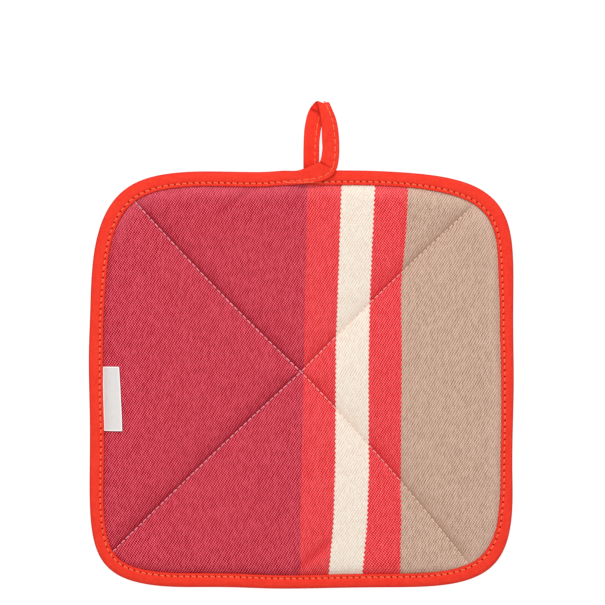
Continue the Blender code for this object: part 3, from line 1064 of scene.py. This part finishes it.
def sewn_lines(name, lines, tree, values):
    """Stitches along (points, ups) lines in millimetres, as one plain mesh object."""
    verts, ups = [np.vstack(parts) for parts in zip(*lines)]
    edges, start = [], 0
    for points, _ in lines:
        edges += [(start + k, start + k + 1) for k in range(len(points) - 1)]
        start += len(points)
    mesh = mesh_of(name + "_lines", verts, edges, [], {"up": ups})
    wire = placed(name, mesh)
    modifier = wire.modifiers.new("stitches", "NODES")
    modifier.node_group = tree
    for item in tree.interface.items_tree:
        if item.in_out == "INPUT" and item.name in values:
            modifier[item.identifier] = values[item.name]
    seen = wire.evaluated_get(bpy.context.evaluated_depsgraph_get())
    made = bpy.data.meshes.new_from_object(seen)
    wire.modifiers.clear()
    wire.data = made
    made.name = name
    bpy.data.meshes.remove(mesh)
    return wire


def quilting_lines():
    """The four rows, from the crossing out, on the face and on the back."""
    lines = []
    for row in QUILTING:
        run = row_end(row) - CROSSING
        share = np.linspace(row.first / norm(run), ROW_STOP, 240)
        sideways = turned_left(unit(run))
        points = CROSSING + share[:, None] * run + bow_at(row.bow, share)[:, None] * sideways
        for front, up in ((True, 1.0), (False, -1.0)):
            spots = np.column_stack((points, pad_level(points, front)))
            lines.append((spots, np.tile((0.0, 0.0, up), (len(points), 1))))
    return lines


# ---- put together ----

twill_finish = striped_twill()
tape_finish = red_tape()
satin_finish = white_satin()
stripe_threads = [(start, yarn.thread) for start, yarn in STRIPES]
quilting_thread = thread("quilting_thread", WINE.thread, stripe_threads)
binding_thread = thread("binding_thread", (255, 118, 84))

cover = quilted_cover(twill_finish)
tape, on_pad, on_loop, on_root = binding_tape(tape_finish)
label = satin_label(satin_finish)

stitches = stitch_tree()
quilted = {
    "Pitch": QUILT_PITCH * MM,
    "Length": 2.3 * MM,
    "Thickness": 0.44 * MM,
    "Rise": 0.6 * MM,
    "Sink": 0.35 * MM,
    "Slant": 0.0,
    "Stray": 0.05,
    "Seed": 3,
    "Thread": quilting_thread,
}
taped = {
    "Pitch": TAPE_PITCH * MM,
    "Length": 2.0 * MM,
    "Thickness": 0.66 * MM,
    "Rise": 0.6 * MM,
    "Sink": 0.5 * MM,
    "Slant": -0.15,
    "Stray": 0.06,
    "Seed": 8,
    "Thread": binding_thread,
}
upright = {**taped, "Slant": 0.0}
longer = {"Pitch": LOOP_PITCH * MM, "Length": 2.8 * MM, "Thickness": 0.52 * MM}
quilting = sewn_lines("quilting_stitches", quilting_lines(), stitches, quilted)
pad_stitches = sewn_lines("tape_stitches", on_pad, stitches, taped)
loop_stitches = sewn_lines("loop_stitches", on_loop, stitches, {**upright, **longer})
root_stitches = sewn_lines("root_stitches", on_root, stitches, upright)

# ---- stage ----

PHOTO_WIDTH = 284.04
PHOTO_MIDDLE = (0.70, 35.92)
CAMERA_RISE = 1.5
FACE_LEVEL = 0.007
FLOOR_LEVEL = -2e-5


def floor_of(side):
    mesh = bpy.data.meshes.new("floor")
    half = side / 2
    corners = ((-half, -half), (half, -half), (half, half), (-half, half))
    mesh.from_pydata([(x, y, FLOOR_LEVEL) for x, y in corners], [], [(0, 1, 2, 3)])
    material, shader, _ = finish_of("pale_floor", (140, 140, 140), 0.8, 0.0)
    shader.inputs["Emission Color"].default_value = (1, 1, 1, 1)
    shader.inputs["Emission Strength"].default_value = 0.85
    mesh.materials.append(material)
    return placed("floor", mesh)


def softbox(name, place, side, power):
    """A square light, turned towards the pot holder."""
    light = bpy.data.lights.new(name, "AREA")
    light.shape = "SQUARE"
    light.size = side
    light.energy = power
    box = placed(name, light)
    box.location = place
    box.rotation_euler = (-Vector(place)).to_track_quat("-Z", "Y").to_euler()


floor_of(12.0)
softbox("window_side_softbox", (0.1, 1.3, 1.15), 0.6, 11)
softbox("overhead_softbox", (-0.2, 0.1, 1.9), 1.6, 16)

world = bpy.data.worlds.new("studio")
world.use_nodes = True
sky = world.node_tree.nodes["Background"]
sky.inputs["Color"].default_value = (1, 1, 1, 1)
sky.inputs["Strength"].default_value = 0.45
bpy.context.scene.world = world
bpy.context.scene.view_settings.view_transform = "Standard"

lens = bpy.data.cameras.new("straight_down")
lens.lens = lens.sensor_width * (CAMERA_RISE - FACE_LEVEL) / (PHOTO_WIDTH * MM)
middle = (np.array((*PHOTO_MIDDLE, 0.0)) + PAD_CENTRE) * MM
camera = placed("straight_down", lens)
camera.location = (middle[0], middle[1], CAMERA_RISE)
bpy.context.scene.camera = camera

# ---- hang each piece from the root body ----

for piece, slot in (
    (cover, "striped_twill"),
    (tape, "binding_tape"),
    (label, "label_satin"),
    (quilting, "striped_twill"),
    (pad_stitches, "binding_tape"),
    (loop_stitches, "binding_tape"),
    (root_stitches, "binding_tape"),
):
    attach(piece, "root")

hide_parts("quilted_pad")
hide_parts("edge_binding", "hanging_loop")
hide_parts("label")
